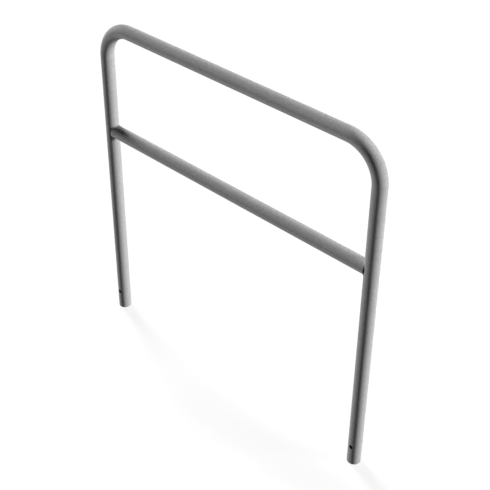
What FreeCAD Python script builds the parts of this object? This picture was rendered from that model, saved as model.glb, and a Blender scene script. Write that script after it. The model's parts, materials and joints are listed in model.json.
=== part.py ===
import FreeCAD, Part
import math
import os
import Sketcher

# Hoop barrier: a round steel tube bent into an upside-down U, with a cross rail of the same tube
# welded between its legs. X runs along the width, Y through the hoop's plane and Z up.
# The origin is midway between the two leg ends, on their end plane.

SIZES = {
    "hoop_height": 1250.0,      # leg ends to the top of the hoop
    "leg_spacing": 1200.0,      # leg axis to leg axis
    "bend_radius": 125.0,       # of the tube's axis in both bends
    "tube_diameter": 48.3,      # outside, of the one tube that hoop and rail are cut from
    "tube_wall": 3.2,
    "rail_height": 810.0,       # leg ends to the rail's axis
    "saddle_depth": 7.0,        # how far the leg sits in the rail's notched end
    "fit_up_gap": 0.2,          # between the notch and the leg before welding
    "weld_size": 3.0,           # leg of the fillet laid along the notch
    "hole_diameter": 16.0,      # cross-drilled near the foot of each leg for an anchor rod
    "hole_height": 77.0,        # leg ends to the hole's axis
    "edge_break": 0.5,          # chamfer on the sawn leg ends
}

doc = FreeCAD.newDocument("hoop_barrier")
sheet = doc.addObject("Spreadsheet::Sheet", "sizes")
for row, (alias, value) in enumerate(SIZES.items(), start=1):
    sheet.set(f"A{row}", alias)
    sheet.set(f"B{row}", str(value))
    sheet.setAlias(f"B{row}", alias)
doc.recompute()


def bind(target, **expressions):
    """Ties properties of an object to the sheet; a double underscore in a name stands for a dot."""
    for name, expression in expressions.items():
        target.setExpression(name.replace("__", "."), expression)


def new_body(label):
    """A body whose label names its node and its file."""
    body = doc.addObject("PartDesign::Body", label)
    body.Label = label
    return body


def plane_sketch(body, role, name):
    """An empty sketch on one of the body's own origin planes."""
    sketch = body.newObject("Sketcher::SketchObject", name)
    plane = next(item for item in body.Origin.OriginFeatures if item.Role == role)
    sketch.AttachmentSupport = [(plane, "")]
    sketch.MapMode = "FlatFace"
    return sketch


def dimension(sketch, name, expression, kind, *where):
    """A named driving dimension; its first value is what the sketch shows before the sheet sets it."""
    index = sketch.addConstraint(Sketcher.Constraint(kind, *where))
    sketch.renameConstraint(index, name)
    sketch.setExpression(f"Constraints.{name}", expression)


START, END, CENTRE = 1, 2, 3
ORIGIN = -1
HALF_SPACING = SIZES["leg_spacing"] / 2
TUBE_RADIUS = SIZES["tube_diameter"] / 2


def place_circle(sketch, name, x, y, radius, x_expression, y_expression, radius_expression):
    """A circle held by its centre's place and its radius; a zero place is held on the axis."""
    circle = Part.Circle(FreeCAD.Vector(x, y, 0), FreeCAD.Vector(0, 0, 1), radius)
    index = sketch.addGeometry(circle, False)
    for axis, kind, value, expression in (
        ("x", "DistanceX", x, x_expression),
        ("y", "DistanceY", y, y_expression),
    ):
        if expression is None:
            on_axis = -2 if axis == "x" else -1
            sketch.addConstraint(Sketcher.Constraint("PointOnObject", index, CENTRE, on_axis))
        elif value < 0:
            dimension(sketch, f"{name}_{axis}", expression, kind, index, CENTRE, ORIGIN, START, -value)
        else:
            dimension(sketch, f"{name}_{axis}", expression, kind, ORIGIN, START, index, CENTRE, value)
    dimension(sketch, f"{name}_radius", radius_expression, "Radius", index, radius)


def tube_ring(sketch, x, y, x_expression, y_expression):
    """The tube's section: its outer circle and its bore."""
    bore_radius = TUBE_RADIUS - SIZES["tube_wall"]
    place_circle(sketch, "outside", x, y, TUBE_RADIUS, x_expression, y_expression, "sizes.tube_diameter / 2")
    place_circle(sketch, "bore", x, y, bore_radius, x_expression, y_expression,
                 "sizes.tube_diameter / 2 - sizes.tube_wall")


def hoop_path(body):
    """The hoop's axis: leg, bend, top bar, bend and leg in one plane."""
    sketch = plane_sketch(body, "XZ_Plane", "hoop_path")
    bend = SIZES["bend_radius"]
    top = SIZES["hoop_height"] - TUBE_RADIUS
    spring = top - bend
    corner = HALF_SPACING - bend

    def point(x, z):
        return FreeCAD.Vector(x, z, 0)

    def bend_arc(x, start, end):
        circle = Part.Circle(point(x, spring), FreeCAD.Vector(0, 0, 1), bend)
        return Part.ArcOfCircle(circle, start, end)

    left_leg = sketch.addGeometry(Part.LineSegment(point(-HALF_SPACING, 0), point(-HALF_SPACING, spring)), False)
    left_bend = sketch.addGeometry(bend_arc(-corner, math.pi / 2, math.pi), False)
    top_bar = sketch.addGeometry(Part.LineSegment(point(-corner, top), point(corner, top)), False)
    right_bend = sketch.addGeometry(bend_arc(corner, 0, math.pi / 2), False)
    right_leg = sketch.addGeometry(Part.LineSegment(point(HALF_SPACING, spring), point(HALF_SPACING, 0)), False)

    for first, first_end, second, second_end in (
        (left_leg, END, left_bend, END),
        (left_bend, START, top_bar, START),
        (top_bar, END, right_bend, END),
        (right_bend, START, right_leg, START),
    ):
        sketch.addConstraint(Sketcher.Constraint("Tangent", first, first_end, second, second_end))
    sketch.addConstraint(Sketcher.Constraint("Equal", left_bend, right_bend))
    sketch.addConstraint(Sketcher.Constraint("Vertical", left_leg))
    sketch.addConstraint(Sketcher.Constraint("Horizontal", top_bar))
    sketch.addConstraint(Sketcher.Constraint("Symmetric", left_leg, START, right_leg, END, ORIGIN, START))
    dimension(sketch, "spacing", "sizes.leg_spacing", "DistanceX",
              left_leg, START, right_leg, END, SIZES["leg_spacing"])
    dimension(sketch, "bend", "sizes.bend_radius", "Radius", left_bend, bend)
    dimension(sketch, "top", "sizes.hoop_height - sizes.tube_diameter / 2", "DistanceY",
              ORIGIN, START, top_bar, START, top)
    return sketch


def make_hoop():
    """One tube swept along the hoop's axis, drilled front to back through both legs, ends deburred."""
    body = new_body("hoop_tube")
    path = hoop_path(body)
    section = plane_sketch(body, "XY_Plane", "hoop_section")
    tube_ring(section, -HALF_SPACING, 0, "sizes.leg_spacing / 2", None)
    doc.recompute()

    tube = body.newObject("PartDesign::AdditivePipe", "bent_tube")
    tube.Profile = section
    tube.Spine = (path, [f"Edge{number + 1}" for number in range(path.GeometryCount)])
    doc.recompute()

    drill = plane_sketch(body, "XZ_Plane", "anchor_hole_centres")
    for name, side in (("left", -1), ("right", 1)):
        place_circle(drill, name, side * HALF_SPACING, SIZES["hole_height"], SIZES["hole_diameter"] / 2,
                     "sizes.leg_spacing / 2", "sizes.hole_height", "sizes.hole_diameter / 2")
    doc.recompute()
    holes = body.newObject("PartDesign::Pocket", "anchor_holes")
    holes.Profile = drill
    holes.Type = "ThroughAll"
    holes.SideType = "Symmetric"
    doc.recompute()

    sawn_edges = [
        f"Edge{number}"
        for number, edge in enumerate(holes.Shape.Edges, start=1)
        if edge.BoundBox.ZMax < SIZES["edge_break"] / 2
    ]
    deburr = body.newObject("PartDesign::Chamfer", "deburred_ends")
    deburr.Base = (holes, sawn_edges)
    bind(deburr, Size="sizes.edge_break")
    return body


def make_rail():
    """A straight length of the tube whose ends are notched to the legs and blunt at the front and back."""
    body = new_body("cross_rail")
    section = plane_sketch(body, "YZ_Plane", "rail_section")
    tube_ring(section, 0, SIZES["rail_height"], None, "sizes.rail_height")
    doc.recompute()
    length = body.newObject("PartDesign::Pad", "cut_length")
    length.Profile = section
    length.SideType = "Symmetric"
    bind(length, Length="sizes.leg_spacing - sizes.tube_diameter + 2 * sizes.saddle_depth")
    doc.recompute()

    legs = plane_sketch(body, "XY_Plane", "leg_outlines")
    for name, side in (("left", -1), ("right", 1)):
        place_circle(legs, name, side * HALF_SPACING, 0, TUBE_RADIUS + SIZES["fit_up_gap"],
                     "sizes.leg_spacing / 2", None, "sizes.tube_diameter / 2 + sizes.fit_up_gap")
    doc.recompute()
    saddles = body.newObject("PartDesign::Pocket", "saddles")
    saddles.Profile = legs
    saddles.Type = "ThroughAll"
    saddles.SideType = "Symmetric"
    return body


def bound(kind, name, **expressions):
    """A Part object tied to the sheet."""
    item = doc.addObject(kind, name)
    bind(item, **expressions)
    return item


def turned(angle):
    """A turn about Y."""
    return FreeCAD.Rotation(FreeCAD.Vector(0, 1, 0), angle)


def crossing_tubes():
    """A leg and the rail about the crossing of their axes, leaning 45 degrees either way in XZ."""
    reach = "2 * sizes.tube_diameter"
    tubes = []
    for name, lean in (("crossing_leg", 45), ("crossing_rail", -45)):
        tube = bound("Part::Cylinder", name, Radius="sizes.tube_diameter / 2", Height=f"2 * {reach}",
                     Placement__Base__x=f"-{reach} * sin({lean})", Placement__Base__z=f"-{reach} * cos({lean})")
        tube.Placement.Rotation = turned(lean)
        tubes.append(tube)
    both = doc.addObject("Part::MultiFuse", "crossing_tubes")
    both.Shapes = tubes
    return both


def fillet_blank():
    """What a fillet weld is cut from, where one run crosses +X.

    Two equal tubes that cross square meet along an ellipse, flat in XY here and longer along X by the root
    of two. A fillet's face lies half its leg outside that ellipse, and the run stops at the rail's blunt tips.
    """
    radius = "(sizes.tube_diameter / 2)"
    face_radius = f"({radius} + sizes.weld_size / 2)"
    tip = f"({radius} - sizes.saddle_depth)"
    half_run = f"sqrt({radius}^2 - {tip}^2)"
    outline = bound("Part::Ellipse", "fillet_outline", MajorRadius=f"sqrt(2) * {face_radius}",
                    MinorRadius=face_radius)
    face = bound("Part::Extrusion", "fillet_face", LengthFwd="sizes.tube_diameter")
    face.Base = outline
    face.Dir = FreeCAD.Vector(0, 0, 1)
    face.Symmetric = True
    face.Solid = True
    run = bound("Part::Box", "fillet_run", Length="sizes.tube_diameter", Width=f"2 * {half_run}",
                Height="sizes.tube_diameter", Placement__Base__y=f"-{half_run}",
                Placement__Base__z="-sizes.tube_diameter / 2")
    blank = doc.addObject("Part::MultiCommon", "fillet_blank")
    blank.Shapes = [face, run]
    return blank


def make_weld(label, blank, tubes, side, turn):
    """One fillet run along a saddle, above or below the rail: the blank less the two tubes, turned into place."""
    weld = bound("Part::Cut", label, Placement__Base__x=f"{side} * sizes.leg_spacing / 2",
                 Placement__Base__z="sizes.rail_height")
    weld.Base = blank
    weld.Tool = tubes
    weld.Placement.Rotation = turned(turn)
    weld.Label = label
    return weld


tubes = crossing_tubes()
blank = fillet_blank()
pieces = [
    make_hoop(),
    make_rail(),
    make_weld("left_upper_weld", blank, tubes, -1, -45),
    make_weld("left_lower_weld", blank, tubes, -1, 45),
    make_weld("right_upper_weld", blank, tubes, 1, -135),
    make_weld("right_lower_weld", blank, tubes, 1, 135),
]
doc.recompute()

for item in doc.Objects:
    if {"Invalid", "Error"} & set(item.State):
        raise RuntimeError(f"{item.Label} did not rebuild: {item.State}")
for piece in pieces:
    if piece.Shape.isNull() or not piece.Shape.isValid() or len(piece.Shape.Solids) != 1:
        raise RuntimeError(f"{piece.Label} is not one sound solid")

os.makedirs("parts", exist_ok=True)
for piece in pieces:
    piece.Shape.exportStep(os.path.join("parts", f"{piece.Label}.step"))
    box = piece.Shape.BoundBox
    print(f"{piece.Label}: {piece.Shape.Volume:.1f} mm3, X {box.XMin:.2f} to {box.XMax:.2f}, "
          f"Y {box.YMin:.2f} to {box.YMax:.2f}, Z {box.ZMin:.2f} to {box.ZMax:.2f}")
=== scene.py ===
import json
import math

import bmesh
import bpy
from mathutils import Matrix, Vector


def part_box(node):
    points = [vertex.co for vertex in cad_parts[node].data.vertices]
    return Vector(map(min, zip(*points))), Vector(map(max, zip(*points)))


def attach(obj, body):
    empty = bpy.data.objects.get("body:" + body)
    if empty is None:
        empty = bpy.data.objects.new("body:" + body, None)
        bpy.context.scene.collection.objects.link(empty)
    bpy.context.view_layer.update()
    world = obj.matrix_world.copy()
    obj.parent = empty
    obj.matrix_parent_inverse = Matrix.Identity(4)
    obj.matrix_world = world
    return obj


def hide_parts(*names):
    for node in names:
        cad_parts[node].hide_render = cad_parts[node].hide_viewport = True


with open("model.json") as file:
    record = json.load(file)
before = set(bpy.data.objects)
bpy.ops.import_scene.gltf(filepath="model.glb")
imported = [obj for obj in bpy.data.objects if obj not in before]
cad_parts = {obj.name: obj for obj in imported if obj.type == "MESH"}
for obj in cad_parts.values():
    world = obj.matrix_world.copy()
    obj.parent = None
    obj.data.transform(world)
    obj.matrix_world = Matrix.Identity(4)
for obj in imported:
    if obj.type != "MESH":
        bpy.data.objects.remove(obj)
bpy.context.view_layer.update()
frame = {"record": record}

# Hoop tube
# One length of round steel tube, bent twice into an upside-down U, sawn square at both ends and drilled
# front to back near each foot for an anchor rod. The finished barrier is dipped in molten zinc.
TUBE_WALL = 0.0032
TUBE_SIDES = 128
BEND_RADIUS = 0.125
BEND_STEPS = 36
HOLE_SIDES = 56
PLAIN_BESIDE_HOLE = 0.02
SAWN_EDGE = 0.0005
DRILLED_EDGE = 0.0004
EDGE_STEPS = 3
JOIN_REACH = 0.00001
SAME_LENGTH = 0.00003
SAME_CURVE = 0.0001
SMOOTH_ANGLE = math.radians(35)
FLAT_FACE_WEIGHT = 100
CUTTER_WIDTHS = 3
# The map that pictures of a tube's surface are drawn on: its name, the height of a bore's row as a share of
# its skin's, the gap between rows, and the room in metres past both ends of a run.
PICTURE_MAP = "OFBake"
BORE_SHARE = 0.25
ROW_GAP = 0.004
END_ROOM = 0.005

rail_low, rail_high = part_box("cross_rail")
hoop_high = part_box("hoop_tube")[1]
tube_radius = (rail_high.z - rail_low.z) / 2
leg_x = hoop_high.x - tube_radius
bar_height = hoop_high.z - tube_radius
anchor_holes = [mount for mount in frame["record"]["mounts"] if mount["kind"] == "bore"]
hole_radius = anchor_holes[0]["dims"]["r_mm"] / 1000
hole_height = anchor_holes[0]["pos_m"][2]
cutter_length = CUTTER_WIDTHS * 2 * tube_radius
bend_x = leg_x - BEND_RADIUS
bend_z = bar_height - BEND_RADIUS


def put_down(name):
    """Names what has just been added and moves its place into its mesh."""
    piece = bpy.context.object
    piece.name = name
    piece.data.name = name
    bpy.ops.object.transform_apply(location=True, rotation=True, scale=True)
    return piece


def take_up(piece):
    """Selects one piece and nothing else."""
    bpy.ops.object.select_all(action="DESELECT")
    piece.select_set(True)
    bpy.context.view_layer.objects.active = piece


def start_ring(name, place, turn, radius=tube_radius, sides=TUBE_SIDES):
    """The first ring of a round piece, ready to be drawn out in edit mode."""
    bpy.ops.object.select_all(action="DESELECT")
    bpy.ops.mesh.primitive_circle_add(
        vertices=sides, radius=radius, calc_uvs=False, location=place, rotation=turn)
    piece = put_down(name)
    bpy.ops.object.mode_set(mode="EDIT")
    bpy.ops.mesh.select_all(action="SELECT")
    return piece


def draw_out(*steps):
    """Draws the selected ring out along straight runs."""
    for step in steps:
        bpy.ops.mesh.extrude_region_move(TRANSFORM_OT_translate={"value": step})


def bend_over(x, z):
    """Carries the selected ring through a quarter bend; a spin turns left-handed about its axis."""
    bpy.ops.mesh.spin(steps=BEND_STEPS, angle=math.pi / 2, center=(x, 0, z), axis=(0, -1, 0))


def finish_modifier(piece, kind, **settings):
    """Adds a modifier, sets it and applies it."""
    bpy.context.view_layer.objects.active = piece
    modifier = piece.modifiers.new(kind.lower(), kind)
    for name, value in settings.items():
        setattr(modifier, name, value)
    bpy.ops.object.modifier_apply(modifier=modifier.name)


def close_skin():
    """Joins what meets in a drawn skin, turns its faces outwards and leaves edit mode."""
    bpy.ops.mesh.select_all(action="SELECT")
    bpy.ops.mesh.remove_doubles(threshold=JOIN_REACH)
    bpy.ops.mesh.normals_make_consistent(inside=False)
    bpy.ops.object.mode_set(mode="OBJECT")


def thicken(piece):
    """Gives a drawn skin the tube's wall, inwards from its outer face."""
    close_skin()
    finish_modifier(piece, "SOLIDIFY", thickness=TUBE_WALL, offset=-1, use_even_offset=True, use_rim=True)


def cut_round(piece, radius, place, turn, sides=TUBE_SIDES):
    """Cuts the shape of a round bar out of a piece and clears the empty material slot that a cut leaves."""
    bpy.ops.object.select_all(action="DESELECT")
    bpy.ops.mesh.primitive_cylinder_add(
        vertices=sides, radius=radius, depth=cutter_length, calc_uvs=False, location=place, rotation=turn)
    cutter = put_down("cutter")
    finish_modifier(piece, "BOOLEAN", operation="DIFFERENCE", solver="MANIFOLD", object=cutter)
    bpy.data.objects.remove(cutter)
    piece.data.materials.clear()


def ease_edges(piece, width, fits):
    """Rounds the edges whose two ends fit."""
    take_up(piece)
    bpy.ops.object.mode_set(mode="EDIT")
    bpy.ops.mesh.select_mode(type="EDGE")
    bpy.ops.mesh.select_all(action="DESELECT")
    mesh = bmesh.from_edit_mesh(piece.data)
    for edge in mesh.edges:
        if all(fits(end.co) for end in edge.verts):
            edge.select_set(True)
    mesh.select_flush_mode()
    bmesh.update_edit_mesh(piece.data)
    bpy.ops.mesh.bevel(offset=width, segments=EDGE_STEPS, affect="EDGES", clamp_overlap=True)
    bpy.ops.object.mode_set(mode="OBJECT")


def smooth(piece):
    """Shades a piece smooth between its real edges."""
    take_up(piece)
    bpy.ops.object.shade_smooth_by_angle(angle=SMOOTH_ANGLE)


def near(value, wanted, reach):
    """True where two lengths are the same, give or take a reach."""
    return abs(value - wanted) < reach


def on_sawn_end(point):
    """On the outer or inner edge of a leg's end."""
    return near(point.z, 0, SAME_LENGTH)


def on_hole_rim(point):
    """On the outer edge of an anchor hole, where the cut's facets lie a little off the true curve."""
    aside = abs(point.x) - leg_x
    from_hole = math.hypot(aside, point.z - hole_height)
    from_leg = math.hypot(aside, point.y)
    return near(from_hole, hole_radius, SAME_CURVE) and near(from_leg, tube_radius, SAME_CURVE)


def hoop_run(point):
    """The name of the hoop's straight or bent run that a place is in."""
    if point.z > bend_z and abs(point.x) < bend_x:
        return "bar"
    side = "left" if point.x < 0 else "right"
    return side + (" bend" if point.z > bend_z else " leg")


def in_hoop(run, point):
    """How far along a run of the hoop a place is, and how far it stands outwards from the run's axis."""
    if run == "bar":
        return point.x + bend_x, point.z - bar_height
    if run.endswith("leg"):
        return point.z, abs(point.x) - leg_x
    aside = abs(point.x) - bend_x
    above = point.z - bend_z
    return BEND_RADIUS * math.atan2(above, aside), math.hypot(aside, above) - BEND_RADIUS


def into_hole(along, around, depth):
    """Draws a place on the wall of a hole in towards the hole's middle, by its depth under the skin."""
    hole_around = math.copysign(math.pi / 2, around)
    kept = 1 - depth / (2 * hole_radius)
    return hole_height + kept * (along - hole_height), hole_around + kept * (around - hole_around)


def lay_flat(piece, lengths, run_of, in_run):
    """Unrolls a tube onto its picture map: a row for the skin of each run and a lower one for its bore.
    A cut end opens out past the end of its run, and the wall of a hole into the hole."""
    bore_radius = tube_radius - TUBE_WALL
    rim_reach = hole_radius + 2 * DRILLED_EDGE
    skin_row = 1 / (len(lengths) * (1 + BORE_SHARE))
    bore_row = BORE_SHARE * skin_row
    starts = {run: count * (skin_row + bore_row) for count, run in enumerate(lengths)}
    mesh = piece.data
    picture = mesh.uv_layers.new(name=PICTURE_MAP)
    for face in mesh.polygons:
        run = run_of(face.center)
        length = lengths[run]
        out = in_run(run, face.center)[1]
        facing = math.atan2(face.center.y, out)
        in_bore = math.hypot(out, face.center.y) < bore_radius + SAWN_EDGE / 2
        row_start = starts[run] + (skin_row if in_bore else 0) + ROW_GAP / 2
        row_height = (bore_row if in_bore else skin_row) - ROW_GAP
        for corner in face.loop_indices:
            point = mesh.vertices[mesh.loops[corner].vertex_index].co
            along, out = in_run(run, point)
            radius = math.hypot(out, point.y)
            depth = radius - bore_radius if in_bore else tube_radius - radius
            around = math.atan2(point.y, out)
            around -= math.tau * round((around - facing) / math.tau)
            if run.endswith("leg") and math.hypot(out, along - hole_height) < rim_reach:
                along, around = into_hole(along, around, depth)
            else:
                along += math.copysign(depth, along - length / 2)
            picture.uv[corner].vector = (
                (along + END_ROOM) / (length + 2 * END_ROOM),
                row_start + row_height * (around + math.pi) / math.tau)


below_hole = hole_height - PLAIN_BESIDE_HOLE
above_hole = hole_height + PLAIN_BESIDE_HOLE
hoop = start_ring("hoop", (-leg_x, 0, 0), (0, 0, 0))
draw_out((0, 0, below_hole), (0, 0, above_hole - below_hole), (0, 0, bend_z - above_hole))
bend_over(-bend_x, bend_z)
draw_out((2 * bend_x, 0, 0))
bend_over(bend_x, bend_z)
draw_out((0, 0, above_hole - bend_z), (0, 0, below_hole - above_hole), (0, 0, -below_hole))
thicken(hoop)
for hole in anchor_holes:
    cut_round(hoop, hole_radius, hole["pos_m"], (math.pi / 2, 0, 0), HOLE_SIDES)
ease_edges(hoop, SAWN_EDGE, on_sawn_end)
ease_edges(hoop, DRILLED_EDGE, on_hole_rim)
smooth(hoop)
finish_modifier(hoop, "WEIGHTED_NORMAL", weight=FLAT_FACE_WEIGHT, keep_sharp=True)
quarter_bend = BEND_RADIUS * math.pi / 2
hoop_lengths = {
    "left leg": bend_z,
    "right leg": bend_z,
    "bar": 2 * bend_x,
    "left bend": quarter_bend,
    "right bend": quarter_bend,
}
lay_flat(hoop, hoop_lengths, hoop_run, in_hoop)


class Shade:
    """A value that changes over a surface. Sums with it add nodes to its material."""

    def __init__(self, tree, socket=None):
        self.tree = tree
        self.socket = socket

    def node(self, kind, settings=None, inputs=None, output=0):
        """Adds a node, sets it, feeds its sockets and gives back one of its outputs."""
        added = self.tree.nodes.new(kind)
        for name, value in (settings or {}).items():
            setattr(added, name, value)
        for name, value in (inputs or {}).items():
            if isinstance(value, Shade):
                self.tree.links.new(value.socket, added.inputs[name])
            else:
                added.inputs[name].default_value = value
        return Shade(self.tree, added.outputs[output] if len(added.outputs) else None)

    def maths(self, operation, first, second):
        """Adds one Math node."""
        return self.node("ShaderNodeMath", {"operation": operation}, {0: first, 1: second})

    def __add__(self, other):
        return self.maths("ADD", self, other)

    def __sub__(self, other):
        return self.maths("SUBTRACT", self, other)

    def __rsub__(self, other):
        return self.maths("SUBTRACT", other, self)

    def __mul__(self, other):
        return self.maths("MULTIPLY", self, other)

    __radd__ = __add__
    __rmul__ = __mul__


def bare_tree(owner):
    """An empty node tree of a material or the world, as a place to add nodes."""
    owner.use_nodes = True
    owner.node_tree.nodes.clear()
    return Shade(owner.node_tree)


ZINC_GREY = 0.46
ZINC_DULLNESS = 0.8
ZINC_REFLECTION = 0.12
TUBE_CRYSTAL = 0.0035
PATCH_CRYSTALS = 3
FRAY_SIZE = 0.4
FRAY_REACH = 0.8
FROST_SIZE = 0.0011
CLOUD_SIZE = 0.07
NOISE_ROUGHNESS = 0.6
FINE_DETAIL = 4.0
BROAD_DETAIL = 2.0
PATTERN_MIDDLE = 0.5
TONES = {"crystals": 0.26, "patches": 0.06, "frost": 0.14, "clouds": 0.07}
DULLING = {"crystals": -0.2, "patches": 0.15, "frost": 0.15}
CRYSTAL_RELIEF = 0.5
RELIEF_STRENGTH = 0.15
RELIEF_DEPTH = 0.0004


def galvanised(name, grey, crystal):
    """Zinc as it leaves the bath and weathers: a dull grey of small ragged crystals, each of its own tone
    and gloss, frosted all over and slowly clouded along the tube. The film that weather leaves on zinc is a
    mineral, so it is shaded as one and not as bare metal."""
    material = bpy.data.materials.new(name)
    zinc = bare_tree(material)
    place = zinc.node("ShaderNodeTexCoord", output="Object")

    def noise(size, detail, output="Fac"):
        inputs = {"Vector": place, "Scale": 1 / size, "Detail": detail, "Roughness": NOISE_ROUGHNESS}
        return zinc.node("ShaderNodeTexNoise", None, inputs, output)

    def cells(size, output):
        inputs = {"Vector": frayed, "Scale": 1 / size}
        return zinc.node("ShaderNodeTexVoronoi", {"feature": "F1"}, inputs, output)

    stray = zinc.node("ShaderNodeVectorMath", {"operation": "SUBTRACT"},
                      {0: noise(FRAY_SIZE * crystal, BROAD_DETAIL, "Color"), 1: (PATTERN_MIDDLE,) * 3})
    frayed = zinc.node("ShaderNodeVectorMath", {"operation": "MULTIPLY_ADD"},
                       {0: stray, 1: (FRAY_REACH * crystal,) * 3, 2: place})
    crystals = cells(crystal, "Color") - PATTERN_MIDDLE
    patches = cells(PATCH_CRYSTALS * crystal, "Color") - PATTERN_MIDDLE
    frost = noise(FROST_SIZE, FINE_DETAIL) - PATTERN_MIDDLE
    clouds = noise(CLOUD_SIZE, BROAD_DETAIL) - PATTERN_MIDDLE
    tone = (TONES["crystals"] * crystals + TONES["patches"] * patches
            + TONES["frost"] * frost + TONES["clouds"] * clouds)
    dulled = DULLING["crystals"] * crystals + DULLING["patches"] * patches + DULLING["frost"] * frost
    relief = frost - CRYSTAL_RELIEF * cells(crystal, "Distance")
    skin = zinc.node("ShaderNodeBump", None,
                     {"Height": relief, "Strength": RELIEF_STRENGTH, "Distance": RELIEF_DEPTH})
    metal = zinc.node("ShaderNodeBsdfPrincipled", None, {
        "Base Color": grey * (1.0 + tone),
        "Roughness": ZINC_DULLNESS + dulled,
        "Metallic": 0.0,
        "Specular IOR Level": ZINC_REFLECTION,
        "Normal": skin,
    })
    zinc.node("ShaderNodeOutputMaterial", None, {"Surface": metal})
    return material


tube_zinc = galvanised("tube_zinc", ZINC_GREY, TUBE_CRYSTAL)
hoop.data.materials.append(tube_zinc)
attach(hoop, "root")
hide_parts("hoop_tube")

# Cross rail
# A straight length of the same tube between the legs, its ends notched to sit on them and blunt at the
# front and back, so that a narrow slot stays open on both sides of each leg. Welded above and below.
FIT_UP_GAP = 0.0002
NOTCHED_RUN = 0.06

rail_end = rail_high.x
rail_height = (rail_high.z + rail_low.z) / 2
rail = start_ring("rail", (-rail_end, 0, rail_height), (0, math.pi / 2, 0))
draw_out((NOTCHED_RUN, 0, 0), (2 * (rail_end - NOTCHED_RUN), 0, 0), (NOTCHED_RUN, 0, 0))
thicken(rail)
for side in (-1, 1):
    cut_round(rail, tube_radius + FIT_UP_GAP, (side * leg_x, 0, rail_height), (0, 0, 0))
smooth(rail)


def rail_run(point):
    """The rail is all one run."""
    return "rail"


def in_rail(run, point):
    """How far along the rail a place is, and how far it stands upwards from the rail's axis."""
    return point.x + rail_end, point.z - rail_height


lay_flat(rail, {"rail": 2 * rail_end}, rail_run, in_rail)
rail.data.materials.append(tube_zinc)
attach(rail, "root")
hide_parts("cross_rail")

# Weld runs
# Four short fillet welds, above and below the rail at each leg, that follow the notch from one blunt tip to
# the other. Each is a low bead laid in curved ripples, with rounded ends, under the same zinc.
BEAD_RADIUS = 0.0046
BEAD_SINK = 0.0022
BEAD_SIDES = 72
RUN_RADIUS = 0.0187
RUN_PAST_TIP = 0.0024
ROUNDED_END = 0.0035
END_DIGITS = 3
RIPPLE_PITCH = 0.0019
RIPPLE_DEPTH = 0.045
RIPPLE_BOW = 2.0
RIPPLE_STEPS = 10
WELD_GREY = 0.43
WELD_CRYSTAL = 0.0025

joint = Vector((-leg_x, 0, rail_height))
outward = Vector((1, 0, 1)).normalized()
across = Vector((0, 1, 0))
run_axis = outward.cross(across)
run_centre = joint + outward * (math.sqrt(2) * tube_radius - RUN_RADIUS)
notch_tip = math.sqrt(tube_radius ** 2 - (leg_x - rail_end) ** 2)
half_run = math.asin(notch_tip / RUN_RADIUS) + RUN_PAST_TIP / RUN_RADIUS
spine_radius = RUN_RADIUS - BEAD_SINK
ripples = round(2 * half_run * RUN_RADIUS / RIPPLE_PITCH)


def radial(angle):
    """The direction of a place on the run from the run's centre."""
    return outward * math.cos(angle) + across * math.sin(angle)


def ripple_bead(piece):
    """Draws a plain bead's rings in to round its ends and to raise its ripples. The rounding to a few digits
    closes the first and last rings to a point."""
    mesh = bmesh.from_edit_mesh(piece.data)
    for point in mesh.verts:
        place = point.co - run_centre
        angle = math.atan2(place.dot(across), place.dot(outward))
        middle = radial(angle) * spine_radius
        spoke = place - middle
        from_end = round((half_run - abs(angle)) * spine_radius / ROUNDED_END, END_DIGITS)
        from_end = min(max(from_end, 0), 1)
        round_end = math.sqrt(from_end * (2 - from_end))
        lead = RIPPLE_BOW * spoke.normalized().dot(radial(angle))
        wave = abs(math.sin(math.pi * (ripples * (angle / half_run + 1) / 2 + lead)))
        point.co = run_centre + middle + spoke * round_end * (1 - RIPPLE_DEPTH * (1 - wave))
    bmesh.update_edit_mesh(piece.data)


start = radial(-half_run)
first_place = run_centre + start * spine_radius
first_turn = Matrix((start, -run_axis, run_axis.cross(start))).transposed().to_euler()
weld = start_ring("weld_left_upper", first_place, first_turn, BEAD_RADIUS, BEAD_SIDES)
bpy.ops.mesh.spin(steps=ripples * RIPPLE_STEPS, angle=2 * half_run, center=run_centre, axis=-run_axis)
ripple_bead(weld)
close_skin()
cut_round(weld, tube_radius, joint, (0, 0, 0))
cut_round(weld, tube_radius, joint, (0, math.pi / 2, 0))
smooth(weld)
weld.data.materials.append(galvanised("weld_zinc", WELD_GREY, WELD_CRYSTAL))


def half_turned(piece, name, axis):
    """A copy of a weld, turned half round at the middle of the rail."""
    take_up(piece)
    bpy.ops.object.duplicate(linked=False)
    bpy.ops.transform.rotate(value=math.pi, orient_axis=axis, center_override=(0, 0, rail_height))
    return put_down(name)


welds = {
    "left_upper_weld": weld,
    "left_lower_weld": half_turned(weld, "weld_left_lower", "X"),
    "right_upper_weld": half_turned(weld, "weld_right_upper", "Z"),
    "right_lower_weld": half_turned(weld, "weld_right_lower", "Y"),
}
for node, run in welds.items():
    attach(run, "root")
    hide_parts(node)

# Floor and light
# A plain pale studio floor under a white surround. Three soft lamps: the key from the right and a little
# behind, a fill from the left front that comes up through the floor, and a high lamp behind on the left.
FLOOR_SIZE = 80
FLOOR_DROP = 0.0002
FLOOR_SHADE = 0.18
FLOOR_GLOW = 0.87
FLOOR_BOUNCE = 0.05
LAMP_DISTANCE = 4
# Each lamp has its azimuth and elevation in degrees, its strength, and its width in degrees.
LAMPS = {
    "key": (119, 8, 4.16, 22),
    "fill": (-61, -20, 1.92, 12),
    "top": (253, 57, 2.48, 12),
}


def seen(shade):
    """1 where the camera looks, straight or by way of gloss or glass, and 0 for the light that bounces."""
    camera = shade.node("ShaderNodeLightPath", output="Is Camera Ray")
    gloss = shade.node("ShaderNodeLightPath", output="Is Glossy Ray")
    glass = shade.node("ShaderNodeLightPath", output="Is Transmission Ray")
    return camera + gloss + glass


def even_grey(level):
    """A grey as an opaque colour."""
    return (level, level, level, 1)


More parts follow.
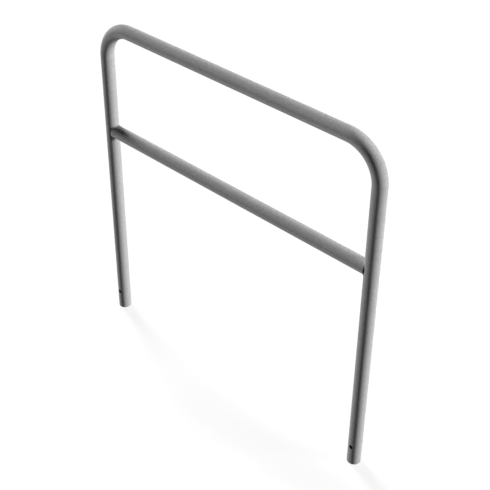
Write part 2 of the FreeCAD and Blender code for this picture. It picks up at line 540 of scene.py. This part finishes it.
bpy.ops.object.select_all(action="DESELECT")
bpy.ops.mesh.primitive_plane_add(size=FLOOR_SIZE, location=(0, 0, -FLOOR_DROP))
floor = put_down("studio_floor")
floor_paint = bpy.data.materials.new("studio_floor")
paint = bare_tree(floor_paint)
shaded = paint.node("ShaderNodeBsdfDiffuse", None, {"Color": even_grey(FLOOR_SHADE)})
glow = paint.node("ShaderNodeEmission", None, {"Color": even_grey(1), "Strength": FLOOR_GLOW})
white = paint.node("ShaderNodeAddShader", None, {0: shaded, 1: glow})
bounced = paint.node("ShaderNodeBsdfDiffuse", None, {"Color": even_grey(FLOOR_BOUNCE)})
surface = paint.node("ShaderNodeMixShader", None, {"Fac": seen(paint), 1: bounced, 2: white})
paint.node("ShaderNodeOutputMaterial", None, {"Surface": surface})
floor.data.materials.append(floor_paint)
floor.visible_shadow = False

surround = bpy.data.worlds.new("white_surround")
bpy.context.scene.world = surround
sky = bare_tree(surround)
backdrop = sky.node("ShaderNodeBackground", None, {"Color": seen(sky), "Strength": 1.0})
sky.node("ShaderNodeOutputWorld", None, {"Surface": backdrop})


def towards(azimuth, elevation):
    """The direction of a place round the object; azimuth 0 is the front and 90 the right."""
    turn, lift = math.radians(azimuth), math.radians(elevation)
    return Vector((math.sin(turn) * math.cos(lift), -math.cos(turn) * math.cos(lift), math.sin(lift)))


for name, (azimuth, elevation, strength, width) in LAMPS.items():
    direction = towards(azimuth, elevation)
    facing = direction.to_track_quat("Z", "Y").to_euler()
    bpy.ops.object.light_add(type="SUN", location=LAMP_DISTANCE * direction, rotation=facing)
    lamp = bpy.context.object
    lamp.name = name + "_lamp"
    lamp.data.energy = strength
    lamp.data.angle = math.radians(width)

# Camera
# A level camera at the front right that looks down, so that the legs close in a little towards their feet.
# Its distance, lens and shift give the photograph's own framing.
VIEW_AZIMUTH = 45.0
VIEW_ELEVATION = 35.264
VIEW_DISTANCE = 3.610
AIM = Vector((0.0012, 0, 0.6276))
SENSOR_WIDTH = 36.0
LENS = 77.9
SHIFT_RIGHT = 0.0309
SHIFT_UP = -0.0143

back = towards(VIEW_AZIMUTH, VIEW_ELEVATION)
facing = back.to_track_quat("Z", "Y").to_euler()
bpy.ops.object.camera_add(location=AIM + VIEW_DISTANCE * back, rotation=facing)
camera = bpy.context.object
camera.data.sensor_width = SENSOR_WIDTH
camera.data.lens = LENS
camera.data.shift_x = SHIFT_RIGHT
camera.data.shift_y = SHIFT_UP
bpy.context.scene.camera = camera
bpy.context.scene.view_settings.view_transform = "Standard"
